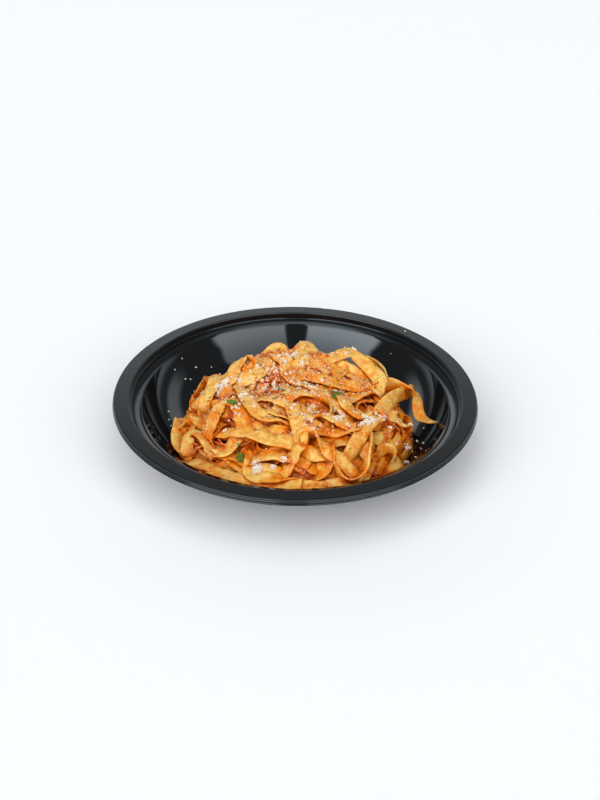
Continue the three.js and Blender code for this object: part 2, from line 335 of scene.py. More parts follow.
def gather(batches, name):
    return np.concatenate([getattr(b, name).reshape(-1, 3)[b.mask] for b in batches])


def spread(batches, X):
    o = 0
    for b in batches:
        m = int(b.mask.sum())
        flat = b.P.reshape(-1, 3)
        flat[b.mask] = X[o:o + m]
        b.P = flat.reshape(b.P.shape)
        o += m


def push_out(X):
    """Moves points out of the mound and the bowl, and says which touched."""
    x, y, z = X[:, 0], X[:, 1], X[:, 2]
    touch = np.zeros(len(X), bool)
    for height, gap in ((core_height, CONTACT / 2), (lambda a, b: wall_height(np.hypot(a, b)), 1.1)):
        e = 0.6
        h = height(x, y)
        gx = np.clip((height(x + e, y) - height(x - e, y)) / (2 * e), -3, 3)
        gy = np.clip((height(x, y + e) - height(x, y - e)) / (2 * e), -3, 3)
        inv = 1 / np.sqrt(1 + gx * gx + gy * gy)
        depth = (h - z) * inv + gap
        hit = (depth > 0) & (h > -40)
        m = np.where(hit, depth, 0)
        X[:, 0] -= m * gx * inv
        X[:, 1] -= m * gy * inv
        X[:, 2] += m * inv
        touch |= hit
    d = np.hypot(X[:, 0], X[:, 1])
    s = np.minimum(1, (LEDGE_INNER - 1.6) / np.maximum(d, 1e-6))
    X[:, 0] *= s
    X[:, 1] *= s
    return touch


def settle(batches, steps, passes=6, stiff=0.15, gravity=0.18, damp=0.9, friction=0.6, inset=6.0, ceiling=None):
    labels = []
    for k, b in enumerate(batches):
        n, rows = b.P.shape[:2]
        ribbon = np.repeat(np.arange(n), rows * 3) + 1000 * k
        row = np.tile(np.repeat(np.arange(rows), 3), n)
        held = np.zeros(n * rows * 3) if b.pull is None else np.repeat(b.pull, 3, axis=-1).reshape(-1)
        labels.append((ribbon[b.mask], row[b.mask], held[b.mask] > 0))
    ribbon = np.concatenate([l[0] for l in labels])
    row = np.concatenate([l[1] for l in labels])
    held = np.concatenate([l[2] for l in labels])
    for step in range(steps):
        for b in batches:
            V = (b.P - b.Q) * damp
            speed = np.sqrt((V * V).sum(-1, keepdims=True))
            V *= np.minimum(1, 1.0 / np.maximum(speed, 1e-9))
            b.Q = b.P.copy()
            b.P = b.P + V
            b.P[..., 2] -= gravity
        if step % 3 == 0:
            I, J = near_pairs(gather(batches, "P"), ribbon, row, CONTACT + 1.5)
        for _ in range(passes):
            for b in batches:
                hold_shape(b, stiff)
                if b.targets is not None:
                    b.P += (b.targets - b.P) * b.pull[..., None, None]
            X = gather(batches, "P")
            d = X[I] - X[J]
            L = np.sqrt((d * d).sum(1)) + 1e-9
            hit = L < CONTACT
            i, j = I[hit], J[hit]
            c = (0.55 * (CONTACT - L[hit]) / L[hit])[:, None] * d[hit]
            n = len(X)
            count = np.bincount(i, minlength=n) + np.bincount(j, minlength=n)
            w = 1.0 / np.maximum(1, count) ** 0.6
            for k in range(3):
                X[:, k] += w * (np.bincount(i, weights=c[:, k], minlength=n) - np.bincount(j, weights=c[:, k], minlength=n))
            touch = push_out(X)
            spread(batches, X)
        dx, dy = X[:, 0] - HEAP_X, X[:, 1] - HEAP_Y
        away = np.hypot(dx, dy)
        beyond = np.maximum(away - (heap_reach(np.arctan2(dy, dx)) - inset), 0) * 0.15 * ~held
        X[:, 0] -= beyond * dx / np.maximum(away, 1e-6)
        X[:, 1] -= beyond * dy / np.maximum(away, 1e-6)
        if ceiling is not None:
            high = (X[:, 2] > ceiling(X[:, 0], X[:, 1])) & ~held
            X[high, 2] -= 0.35 * (X[high, 2] - ceiling(X[high, 0], X[high, 1]))
        Q = gather(batches, "Q")
        slide = (count > 0) | touch
        X[slide] = Q[slide] + (X[slide] - Q[slide]) * np.array([1 - friction, 1 - friction, 1.0])
        spread(batches, X)


# The strands that show on top: (layer, how far each end dives, points of x, y, z and lean). The upper
# layers are lowered last. They start at the left and go round the front to the right and the top.
STRANDS = (
    (2, (16, 16), ((-40, -2, 42, 0), (-37, 9, 47, 0), (-31, 15, 50, 15), (-25, 9, 48, 45), (-21, 1, 43, 60))),
    (1, (16, 16), ((-58, 12, 29, 0), (-54, 15, 34, 0), (-50, 14, 36, 0), (-45, 9, 36, 20), (-42, 0, 35, 40))),
    (1, (12, 12), ((-50, 4, 38, 0), (-55, -6, 35, -10), (-57, -14, 29, 20), (-56, -24, 24, 80))),
    (0, (14, 14), ((-60, 8, 29, 60), (-63, 0, 24, 80), (-63, -12, 20, 80))),
    (2, (14, 16), ((-50, -42, 33, 40), (-48, -31, 38, 30), (-42, -25, 43, 0), (-35, -33, 44, 0), (-30, -46, 40, 0))),
    (1, (16, 16), ((-33, -16, 45, 0), (-29, -30, 46, 0), (-20, -44, 45, 0), (-8, -47, 44, 10))),
    (2, (10, 16), ((-49, -43, 32, 20), (-39, -48, 36, 0), (-27, -55, 38, 0), (-14, -61, 38, 0), (-5, -61, 37, 0))),
    (1, (16, 12), ((-34, -54, 35, 0), (-40, -60, 29, 15), (-49, -58, 26, -10), (-55, -50, 26, -20))),
    (1, (16, 16), ((-60, -60, 21, 10), (-49, -69, 24, -12), (-38, -75, 25, 12), (-29, -79, 28, -5))),
    (1, (12, 12), ((-71, -24, 23, 30), (-71, -37, 24, 10), (-69, -47, 22, 10), (-63, -54, 21, 65), (-56, -52, 26, 60), (-50, -46, 31, 40))),
    (2, (12, 12), ((-64, -50, 21, 0), (-63, -43, 29, 15), (-57, -45, 32, 30), (-52, -53, 30, 40))),
    (0, (3, 14), ((-71, -28, 22, 70), (-66, -24, 24, 75), (-60, -27, 28, 70), (-54, -33, 30, 60))),
    (1, (12, 12), ((-26, -70, 30, 55), (-25, -80, 27, 30), (-14, -84, 28, 5), (-3, -84, 28, 10))),
    (2, (14, 14), ((-28, -74, 25, 40), (-22, -69, 32, 0), (-12, -69, 34, -20), (-4, -71, 33, -20))),
    (2, (16, 12), ((1, -49, 45, 0), (3, -57, 43, -10), (3, -64, 40, -50), (-1, -72, 34, -20), (-8, -81, 24, 0))),
    (2, (8, 14), ((26, -71, 31, 30), (19, -69, 33, 40), (9, -68, 35, 45), (3, -66, 38, 75), (3.5, -61, 41, 88), (8, -58, 43, 85), (13, -61, 43, 50), (18, -67, 40, 0), (23, -71, 36, -15), (29, -73, 31, -10))),
    (0, (10, 10), ((2, -72, 28, 0), (12, -75, 28, 0), (24, -77, 26, 0))),
    (1, (16, 12), ((46, -38, 39, -10), (40, -50, 39, 5), (34, -62, 34, 45), (28, -71, 29, 65))),
    (2, (12, 14), ((46, -62, 27, 60), (50, -57, 29, 80), (57, -55, 27, 65), (60, -59, 20, 20), (57, -65, 18, 0), (49, -71, 20, 0))),
    (0, (16, 14), ((39, -55, 33, -20), (44, -63, 27, -30), (39, -76, 21, -20))),
    (2, (12, 14), ((23, -72, 33, 85), (25, -79, 29, 75), (32, -83, 27, 48), (39, -80, 29, 52), (43, -72, 33, 80), (44, -65, 36, 80))),
    (0, (14, 14), ((19, -72, 32, 0), (14, -80, 29, 0), (5, -86, 25, 0))),
    (0, (14, 14), ((0, -86, 26, 5), (12, -87, 27, -8), (24, -86, 26, 10))),
    (1, (14, 14), ((12, -53, 41, -10), (23, -52, 40, -10), (34, -48, 38, 0))),
    (0, (14, 14), ((15, -58, 37, 0), (24, -58, 36, 0), (35, -54, 33, 0))),
    (2, (18, 6), ((8, 11, 45, -30), (18, 15, 47, -20), (28, 21, 48.5, -12), (35, 25, 49.5, -4), (41, 22, 46.5, -15), (47.5, 14, 42, -28), (53, 5, 38, -35), (51, -3, 36, -20))),
    (1, (16, 14), ((52, 27, 38, 70), (58, 23, 34, 75), (59, 12, 31, 75), (54, 0, 33, 60))),
    (2, (18, 16), ((-8, 12, 48, 0), (3, -2, 48, -20), (15, -7, 48, -30), (30, -8, 45, -35), (42, -4, 41, -30), (51, 7, 37, 20))),
    (0, (16, 16), ((-38, 12, 37, -30), (-26, 24, 39, -40), (-8, 31, 40, -40), (10, 33, 40, -40))),
    (1, (16, 16), ((-2, 25, 43, -35), (9, 27, 44, -40), (19, 26, 42, -40), (28, 21, 39, -40))),
    (1, (16, 16), ((-30, 4, 45, -20), (-18, 12, 47, -35), (-4, 14, 48, -35), (10, 10, 48, -30))),
    (0, (14, 14), ((12, 14, 45.5, -40), (22, 16, 45, -40), (32, 14, 42.5, -40), (42, 10, 39, -40))),
    (1, (14, 14), ((-14, 20, 47, -40), (-2, 22, 48, -40), (10, 20, 48, -40), (20, 14, 47, -30))),
    (1, (14, 14), ((30, -20, 44, 0), (39, -13, 42, -20), (48, -4, 38, -30), (57, 4, 33, -30))),
    (2, (16, 16), ((-7, -34, 45, 0), (0, -27, 48, 0), (9, -25, 49, 0), (20, -25, 47, 0), (27, -33, 42, 10))),
    (1, (12, 12), ((14, -27, 44, 40), (20, -31, 45, 60), (22, -38, 43, 70), (20, -44, 40, 60))),
    (1, (14, 14), ((28, -22, 44, 0), (31, -31, 42, 0), (38, -34, 40, 0), (46, -27, 38, 0))),
    (1, (4, 14), ((74, 11, 28, 60), (66, 0, 32, 50), (59, -11, 34, 50), (52, -25, 36, 30))),
    (2, (12, 0), ((53, 4, 35, 85), (59, 8, 35.5, 90), (65, 6, 36, 88), (70, 4, 35.5, 68), (74, 4, 33.5, 40), (76.5, 3, 29.5, 16), (77.5, 1, 25, 8), (78.5, -2, 21.2, 8), (80.5, -6, 19.3, 12), (83.5, -10.3, 20, 14), (86.3, -14, 21.6, 12))),
    (1, (14, 4), ((53, -8, 34, 0), (57, -20, 33, 0), (63, -24, 28, 15), (68, -21, 24, 30))),
    (1, (16, 16), ((-27, 9, 44, -30), (-20, 20, 47.5, -30), (-12.5, 30, 50.5, -15), (-8, 25, 47.5, -35), (-5, 17, 45, -40))),
    (1, (16, 16), ((0, 21, 45, 5), (2, 28, 49.5, 5), (5.5, 32, 51.5, 5), (9, 28, 49.5, 0), (11, 20, 45, -10))),
    (2, (16, 16), ((-8, 19, 46, 0), (-7, 5, 47, 0), (-2, -7, 48, 0), (7, -14, 48, 0))),
    (1, (16, 16), ((-37, -5, 42, 0), (-30, -4, 44, 0), (-23, 1, 46, 0), (-17, 9, 46, 0))),
    (1, (16, 16), ((-20, -27, 45, 20), (-12, -29, 46, 10), (1, -38, 45, 0))),
    (1, (16, 16), ((-20, -37, 43, 10), (-9, -41, 45, 0), (5, -48, 44, 0))),
    (1, (16, 16), ((6, -48, 43, 20), (15, -43, 44, 10), (29, -46, 40, 0))),
    (1, (10, 10), ((-33, -64, 28, 0), (-23, -73, 29, 0), (-12, -78, 29, 0))),
    (0, (10, 10), ((-44, -56, 28, 0), (-36, -64, 27, 5), (-30, -71, 27, 0))),
    (0, (8, 8), ((-54, -71, 24, -30), (-44, -78, 24.5, -35), (-35, -82, 26.5, 10), (-26, -86, 25, -35), (-17, -88, 27, 12), (-8, -90, 25, -35), (-1, -91, 25.5, -20))),
    (0, (8, 8), ((-3, -90, 25, -30), (11, -90, 25, -35), (27, -87, 25, -30))),
)


def drop_loose(layers, per_layer, rows):
    """Loose strands fall on the mound, a few at a time."""
    strips = loose_ribbons(layers * per_layer, rows)
    batches = []
    top = CORE_TOP
    for layer in range(layers):
        P = strips[layer * per_layer:(layer + 1) * per_layer].copy()
        for k in range(per_layer):
            a = (layer * per_layer + k) * 2.39996 + rng.uniform(-0.3, 0.3)
            r = HEAP_RADIUS * 0.78 * math.sqrt((k + 0.5) / per_layer)
            P[k, ..., 0] += HEAP_X + r * math.cos(a)
            P[k, ..., 1] += HEAP_Y + r * math.sin(a)
            P[k, ..., 2] += top + 2.0 - P[k, ..., 2].min() + 7.0 * (k % 3)
        batches.append(Batch(P))
        settle(batches, 34)
        X = gather(batches, "P")
        middle = np.hypot(X[:, 0] - HEAP_X, X[:, 1] - HEAP_Y) < 50
        top = np.percentile(X[middle, 2], 96)
    return batches


def lower_strands(batches):
    """The placed strands come down on the heap, the lower ones first."""
    ceiling = lambda x, y: np.maximum(mound(x, y, 45.0, 2.0, 0.0), 4.0)
    settle(batches, 30, ceiling=ceiling)
    for layer in (0, 1, 2):
        shapes = [placed_ribbon(points, dive) for level, dive, points in STRANDS if level == layer]
        rows = max(len(s[0]) for s in shapes)
        P = np.zeros((len(shapes), rows, 3, 3))
        alive = np.zeros((len(shapes), rows), bool)
        pull = np.zeros((len(shapes), rows))
        for k, (strip, held) in enumerate(shapes):
            P[k, :len(strip)] = strip
            alive[k, :len(strip)] = True
            pull[k, :len(strip)] = held * 0.12
        goal = P.copy()
        P[..., 2] += 9.0
        b = Batch(P, alive, goal.copy(), pull)
        batches.append(b)
        for part in range(6):
            b.targets = goal.copy()
            b.targets[..., 2] += 9.0 * (1 - (part + 1) / 6) ** 1.0
            settle(batches, 5, ceiling=ceiling, gravity=0.1)
    for b in batches:
        if b.pull is not None:
            b.pull *= 0.5
    settle(batches, 24, damp=0.7, gravity=0.12, ceiling=ceiling)
    return batches


# ---------------------------------------------------------------- meshes
def new_piece(name, verts, faces, material, smooth=True, colours=None):
    """A mesh in metres from millimetres, riding on the part."""
    mesh = bpy.data.meshes.new(name)
    verts = np.asarray(verts, float) * MM
    mesh.from_pydata(verts.tolist(), [], [list(f) for f in faces])
    mesh.polygons.foreach_set("use_smooth", np.full(len(mesh.polygons), smooth))
    if colours is not None:
        layer = mesh.color_attributes.new(name="dress", type="FLOAT_COLOR", domain="POINT")
        rgba = np.ones((len(verts), 4))
        rgba[:, :colours.shape[1]] = colours
        layer.data.foreach_set("color", rgba.ravel())
    mesh.update()
    piece = bpy.data.objects.new(name, mesh)
    bpy.context.scene.collection.objects.link(piece)
    mesh.materials.append(material)
    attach(piece, "root")
    return piece


def turned(profile, segments):
    """A closed (radius, height) profile turned round the Z axis."""
    a = 2 * np.pi * np.arange(segments) / segments
    P = np.array(profile, float)
    n = len(P)
    V = np.stack([P[None, :, 0] * np.cos(a)[:, None], P[None, :, 0] * np.sin(a)[:, None], np.tile(P[:, 1], (segments, 1))], -1)
    i = np.arange(segments)[:, None]
    j = np.arange(n)[None]
    i2, j2 = (i + 1) % segments, (j + 1) % n
    quads = np.stack([i * n + j, i2 * n + j, i2 * n + j2, i * n + j2], -1).reshape(-1, 4)
    return V.reshape(-1, 3), quads


def rounded(points, radius, steps=4):
    """An open profile with its corners rounded, and a point beside each so that the flats between them shade flat."""
    P = [np.array(p, float) for p in points]
    out = [P[0]]
    for a, b, c in zip(P[:-2], P[1:-1], P[2:]):
        r = min(radius, 0.45 * np.linalg.norm(b - a), 0.45 * np.linalg.norm(c - b))
        back, ahead = (a - b) / np.linalg.norm(a - b), (c - b) / np.linalg.norm(c - b)
        p, q = b + back * r, b + ahead * r
        out.append(p + back * 0.1 * r)
        for t in np.linspace(0, 1, steps + 1):
            out.append((1 - t) ** 2 * p + 2 * t * (1 - t) * b + t ** 2 * q)
        out.append(q + ahead * 0.1 * r)
    out.append(P[-1])
    return [tuple(p) for p in out]


def wall_arc(offset, steps):
    r = ARC + offset
    return [(ARC_R + r * math.sin(a), ARC_Z - r * math.cos(a)) for a in np.linspace(WALL_FOOT, WALL_TOP, steps)]


def bead(r, z):
    """Half a circle that bulges outward from a radius, downward."""
    return [(r + BEAD * math.cos(a), z + BEAD * math.sin(a)) for a in np.linspace(1.3, -1.3, 7)]


def bowl_profile():
    """Up the inside, over the flange, down the ribbed skirt and back below."""
    flange_outer = RIM_RADIUS - SKIRT_FLARE
    bottom = RIM_HEIGHT - SKIRT_DROP
    inside = [(0.01, SHEET + FLOOR_RAISE), (FOOT_INNER - FOOT_RAMP, SHEET + FLOOR_RAISE), (FOOT_INNER, SHEET)] + wall_arc(0, 26)
    rim = rounded([
        wall_arc(0, 26)[-1], (FLANGE_INNER - STEP_DRAFT, LEDGE_Z), (FLANGE_INNER, RIM_HEIGHT), (flange_outer, RIM_HEIGHT),
        (flange_outer + 0.05, RIM_HEIGHT - 1.0)] + bead(flange_outer, RIM_HEIGHT - 1.6) + bead(RIM_RADIUS - BEAD, bottom + BEAD) + [
        (RIM_RADIUS - SHEET, bottom),
        (flange_outer - SHEET, RIM_HEIGHT - SHEET), (FLANGE_INNER + SHEET, RIM_HEIGHT - SHEET),
        (FLANGE_INNER + SHEET - STEP_DRAFT, LEDGE_Z - SHEET), (LEDGE_INNER + SHEET, LEDGE_Z - SHEET)], 0.8)
    under = list(reversed(wall_arc(SHEET, 20))) + [(FOOT_INNER, 0), (FOOT_INNER - FOOT_RAMP, FLOOR_RAISE), (0.01, FLOOR_RAISE)]
    return inside[:-1] + rim + under[1:]


WIDE_SECTION = ((-1, 0), (-0.94, 0.75), (-0.55, 1), (0, 1), (0.55, 1), (0.94, 0.75), (1, 0), (0.94, -0.75), (0.55, -1), (0, -1), (-0.55, -1), (-0.94, -0.75))
PLAIN_SECTION = ((-1, 0), (-0.92, 0.8), (0, 1), (0.92, 0.8), (1, 0), (0.92, -0.8), (0, -1), (-0.92, -0.8))


def ribbons_mesh(strips, per_row, section):
    """Vertices, outward directions, faces, and each vertex's tone and nearness to an edge, of ribbons along the strips."""
    verts, outward, faces, tones = [], [], [], []
    base = 0
    k = len(section)
    edge = np.abs([u for u, v in section])
    for strip in strips:
        rows = len(strip)
        t = np.linspace(0, rows - 1, (rows - 1) * per_row + 1)
        L, C, R = [along(strip[:, j], t) for j in range(3)]
        T = unit(np.gradient(C, axis=0))
        B = R - L
        B = unit(B - (B * T).sum(1, keepdims=True) * T)
        N = np.cross(B, T)
        n = len(C)
        swell = RIBBON_HALF * (1 + 0.05 * rng.normal() + 0.05 * smooth_noise(n, 7 * per_row, 1)[0])
        thick = RIBBON_THICK * (1 + 0.12 * smooth_noise(n, 4 * per_row, 1)[0])
        ruffle = smooth_noise(n, 2 * per_row, 2) * 0.42
        cup = ((L + R) / 2 - C) * (RIBBON_HALF / RAIL) ** 2 * 0.8
        ring, out = [], []
        for u, v in section:
            wave = np.where(u < 0, ruffle[0], ruffle[1]) * abs(u) ** 3
            ring.append(C + B * (u * swell)[:, None] + cup * u * u + N * (v * thick + wave)[:, None])
            out.append(unit(B * u ** 3 + N * v))
        verts.append(np.stack(ring, 1).reshape(-1, 3))
        outward.append(np.stack(out, 1).reshape(-1, 3))
        tones.append(np.stack([np.full(n * k, rng.uniform()), np.tile(edge, n)], 1))
        i = np.arange(n - 1)[:, None] * k
        j = np.arange(k)[None]
        j2 = (j + 1) % k
        quads = np.stack([i + j, i + j2, i + k + j2, i + k + j], -1).reshape(-1, 4) + base
        faces.extend(quads.tolist())
        faces.append([base + q for q in reversed(range(k))])
        faces.append([base + (n - 1) * k + q for q in range(k)])
        base += n * k
    return np.concatenate(verts), np.concatenate(outward), faces, np.concatenate(tones)


def crowded(tree, points, outward, reach, count):
    """The share of the directions above each point that meet pasta within reach."""
    k = np.arange(count) + 0.5
    away = np.sqrt(k / count)
    turn = k * 2.39996
    fan = np.stack([away * np.cos(turn), away * np.sin(turn), np.sqrt(1 - away ** 2)], 1)
    helper = np.where(np.abs(outward[:, 2:]) < 0.9, [[0, 0, 1.0]], [[1.0, 0, 0]])
    a = unit(np.cross(outward, helper))
    b = np.cross(outward, a)
    crease_sauce_and_shade = np.zeros(len(points))
    for p, q, r in fan:
        rays = a * p + b * q + outward * r
        starts = points + outward * 0.25 + rays * 0.35
        for i in range(len(points)):
            crease_sauce_and_shade[i] += tree.ray_cast(starts[i], rays[i], reach)[0] is not None
    return crease_sauce_and_shade / count


def depth_in_heap(points):
    """How far each point lies below the heap's general surface."""
    surface = mound(points[:, 0], points[:, 1], 45.5, 5.0, -2.0)
    return np.where(surface > 0, surface - points[:, 2], 0.0)


# ---------------------------------------------------------------- materials
def material(name):
    m = bpy.data.materials.new(name)
    m.use_nodes = True
    return m, m.node_tree.nodes, m.node_tree.links, m.node_tree.nodes["Principled BSDF"]


def plain_material(name, colour, roughness, bump=None, coat=0.0, subsurface=0.0):
    m, nodes, links, shader = material(name)
    shader.inputs["Base Color"].default_value = (*colour, 1)
    shader.inputs["Roughness"].default_value = roughness
    shader.inputs["Coat Weight"].default_value = coat
    if subsurface:
        shader.inputs["Subsurface Weight"].default_value = subsurface
        shader.inputs["Subsurface Radius"].default_value = (1.0, 0.6, 0.3)
        shader.inputs["Subsurface Scale"].default_value = 0.002
    if bump:
        noise = nodes.new("ShaderNodeTexNoise")
        noise.inputs["Scale"].default_value = bump[0]
        bumps = nodes.new("ShaderNodeBump")
        bumps.inputs["Strength"].default_value = bump[1]
        bumps.inputs["Distance"].default_value = bump[2]
        links.new(noise.outputs["Fac"], bumps.inputs["Height"])
        links.new(bumps.outputs["Normal"], shader.inputs["Normal"])
    return m


def plastic_material(name, colour, gloss, satin):
    """Black plastic, glossy in the bowl and on the skirt, and satin on the step and the flange."""
    m, nodes, links, shader = material(name)
    shader.inputs["Base Color"].default_value = (*colour, 1)
    shader.inputs["IOR"].default_value = 1.6
    shader.inputs["Specular Tint"].default_value = (0.85, 0.94, 1.0, 1)
    place = nodes.new("ShaderNodeTexCoord")
    parts = nodes.new("ShaderNodeSeparateXYZ")
    links.new(place.outputs["Object"], parts.inputs["Vector"])
    ramp = nodes.new("ShaderNodeMapRange")
    ramp.inputs["From Min"].default_value = (LEDGE_Z + 0.3) * MM
    ramp.inputs["From Max"].default_value = (LEDGE_Z + 0.9) * MM
    ramp.inputs["To Min"].default_value = gloss
    ramp.inputs["To Max"].default_value = satin
    links.new(parts.outputs["Z"], ramp.inputs["Value"])
    flat = nodes.new("ShaderNodeVectorMath")
    flat.operation = "MULTIPLY"
    flat.inputs[1].default_value = (1, 1, 0)
    links.new(place.outputs["Object"], flat.inputs[0])
    away = nodes.new("ShaderNodeVectorMath")
    away.operation = "LENGTH"
    links.new(flat.outputs["Vector"], away.inputs[0])
    edge = nodes.new("ShaderNodeMapRange")
    edge.inputs["From Min"].default_value = (RIM_RADIUS - SKIRT_FLARE - 1.1) * MM
    edge.inputs["From Max"].default_value = (RIM_RADIUS - SKIRT_FLARE - 0.6) * MM
    links.new(away.outputs["Value"], edge.inputs["Value"])
    blend = nodes.new("ShaderNodeMix")
    links.new(edge.outputs["Result"], blend.inputs["Factor"])
    links.new(ramp.outputs["Result"], blend.inputs["A"])
    blend.inputs["B"].default_value = gloss
    links.new(blend.outputs["Result"], shader.inputs["Roughness"])
    return m


def pasta_material(name, pale, clean, sauced, rich_sauce_and_shade):
    """Egg pasta under a thin coat of tomato sauce. The sauce follows the dress colour layer and two sizes of noise.
    Places that lie deep in the heap or are crowded by pasta turn darker and redder, partly sauce pooled there and
    partly painted shade.
    """
    m, nodes, links, shader = material(name)
    dress = nodes.new("ShaderNodeVertexColor")
    dress.layer_name = "dress"
    parts = nodes.new("ShaderNodeSeparateColor")
    links.new(dress.outputs["Color"], parts.inputs["Color"])
    place = nodes.new("ShaderNodeTexCoord")

    def noise(scale, detail, rough=0.55):
        n = nodes.new("ShaderNodeTexNoise")
        n.inputs["Scale"].default_value = scale
        n.inputs["Detail"].default_value = detail
        n.inputs["Roughness"].default_value = rough
        links.new(place.outputs["Object"], n.inputs["Vector"])
        return n.outputs["Fac"]

    def calc(kind, a, b=None, c=None):
        n = nodes.new("ShaderNodeMath")
        n.operation = kind
        for k, v in enumerate((a, b, c)):
            if v is None:
                continue
            if isinstance(v, (int, float)):
                n.inputs[k].default_value = v
            else:
                links.new(v, n.inputs[k])
        return n.outputs[0]

    def ranged(value, lo, hi, a=0.0, b=1.0, kind="SMOOTHSTEP"):
        n = nodes.new("ShaderNodeMapRange")
        n.interpolation_type = kind
        n.inputs["From Min"].default_value = lo
        n.inputs["From Max"].default_value = hi
        n.inputs["To Min"].default_value = a
        n.inputs["To Max"].default_value = b
        links.new(value, n.inputs["Value"])
        return n.outputs["Result"]

    def mix(fac, a, b, blend="MIX"):
        n = nodes.new("ShaderNodeMix")
        n.data_type = "RGBA"
        n.blend_type = blend
        links.new(fac, n.inputs["Factor"])
        for socket, v in ((n.inputs[6], a), (n.inputs[7], b)):
            if isinstance(v, tuple):
                socket.default_value = (*v, 1)
            else:
                links.new(v, socket)
        return n.outputs[2]

    patches, broad, fine, grain, drops = noise(45, 2), noise(120, 3), noise(400, 4), noise(1300, 2), noise(165, 1)
    tone, depth, crease_sauce_and_shade = parts.outputs[:3]
    rim = calc("POWER", dress.outputs["Alpha"], 4.0)
    # Depth in the heap and crowding by nearby pasta (the layer's green and blue) add to the sum below: partly pooled
    # sauce, partly painted shade in gaps and creases.
    sauce_and_shade = calc("ADD", calc("MULTIPLY_ADD", broad, 2.7, -1.35), calc("MULTIPLY_ADD", fine, 2.0, -1.0))
    sauce_and_shade = calc("ADD", sauce_and_shade, calc("MULTIPLY_ADD", patches, 1.8, -0.9))
    sauce_and_shade = calc("ADD", sauce_and_shade, calc("MULTIPLY_ADD", depth, 0.35, calc("MULTIPLY_ADD", tone, 0.34, -0.02)))
    sauce_and_shade = calc("ADD", sauce_and_shade, calc("MULTIPLY_ADD", rim, 0.16, calc("MULTIPLY", crease_sauce_and_shade, 1.05)))
    coat = ranged(sauce_and_shade, 0.05, 0.80)
    pooled_sauce_and_shade = ranged(sauce_and_shade, 0.80, 1.40)
    starch = calc("ADD", calc("MULTIPLY_ADD", fine, 1.4, -0.7), calc("MULTIPLY_ADD", broad, -1.2, 0.6))
    colour = mix(ranged(starch, -0.25, 0.30), clean, pale)
    colour = mix(coat, colour, sauced)
    # The darkest red-brown goes where sauce pools and where shade falls in gaps: partly real sauce, partly painted
    # shade.
    colour = mix(pooled_sauce_and_shade, colour, rich_sauce_and_shade)
    colour = mix(ranged(drops, 0.56, 0.74, 0.0, 0.6), colour, (0.74, 0.165, 0.005))
    specks = ranged(grain, 0.62, 0.70, 0.0, 0.55)
    colour = mix(specks, colour, (0.50, 0.12, 0.010))
    facing = nodes.new("ShaderNodeNewGeometry")
    upward = nodes.new("ShaderNodeSeparateXYZ")
    links.new(facing.outputs["Normal"], upward.inputs["Vector"])
    dusted = calc("MULTIPLY", ranged(noise(60, 1), 0.49, 0.64), ranged(upward.outputs["Z"], 0.1, 0.7))
    colour = mix(calc("MULTIPLY", dusted, ranged(noise(850, 2), 0.51, 0.64, 0.0, 0.6)), colour, (0.86, 0.58, 0.30))
    links.new(colour, shader.inputs["Base Color"])
    links.new(ranged(sauce_and_shade, 0.1, 0.9, 0.38, 0.22, "LINEAR"), shader.inputs["Roughness"])
    shader.inputs["IOR"].default_value = 1.36
    shader.inputs["Specular IOR Level"].default_value = 0.32
    shader.inputs["Subsurface Weight"].default_value = 0.18
    shader.inputs["Subsurface Radius"].default_value = (1.0, 0.45, 0.15)
    shader.inputs["Subsurface Scale"].default_value = 0.0015
    height = calc("ADD", calc("MULTIPLY", fine, 0.6), calc("MULTIPLY", grain, 0.4))
    bumps = nodes.new("ShaderNodeBump")
    bumps.inputs["Strength"].default_value = 0.7
    bumps.inputs["Distance"].default_value = 0.0008
    links.new(height, bumps.inputs["Height"])
    links.new(bumps.outputs["Normal"], shader.inputs["Normal"])
    return m


def crumb_material(name, clean, stained, roughness, depth):
    """Crumbs of two colours. The red of the dress layer says how much sauce a crumb has taken up."""
    m, nodes, links, shader = material(name)
    dress = nodes.new("ShaderNodeVertexColor")
    dress.layer_name = "dress"
    parts = nodes.new("ShaderNodeSeparateColor")
    links.new(dress.outputs["Color"], parts.inputs["Color"])
    blend = nodes.new("ShaderNodeMix")
    blend.data_type = "RGBA"
    links.new(parts.outputs["Red"], blend.inputs["Factor"])
    blend.inputs[6].default_value = (*clean, 1)
    blend.inputs[7].default_value = (*stained, 1)
    links.new(blend.outputs[2], shader.inputs["Base Color"])
    shader.inputs["Roughness"].default_value = roughness
    shader.inputs["Subsurface Weight"].default_value = depth
    shader.inputs["Subsurface Radius"].default_value = (1.0, 0.7, 0.5)
    shader.inputs["Subsurface Scale"].default_value = 0.001
    return m


PLASTIC = plastic_material("bowl_plastic", (0.004, 0.0045, 0.005), 0.06, 0.23)
# The last pasta colour is the dark red-brown of pooled sauce, also painted into deep gaps and creases as shade.
PASTA = pasta_material("pasta", (0.82, 0.535, 0.15), (0.69, 0.33, 0.034), (0.72, 0.20, 0.007), (0.47, 0.075, 0.003))
SAUCE = plain_material("sauce", (0.45, 0.11, 0.009), 0.35, (300, 0.5, 0.001))
CHEESE = crumb_material("cheese", (0.84, 0.75, 0.63), (0.80, 0.50, 0.25), 0.6, 0.25)
PEPPER = plain_material("pepper", (0.035, 0.018, 0.010), 0.5)
HERB = crumb_material("herb", (0.15, 0.27, 0.03), (0.03, 0.06, 0.014), 0.4, 0.0)
TOMATO = crumb_material("tomato", (0.70, 0.25, 0.025), (0.53, 0.065, 0.010), 0.3, 0.1)

# ---------------------------------------------------------------- bowl
bowl = new_piece("bowl_shell", *turned(bowl_profile(), 192), PLASTIC)
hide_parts("bowl")

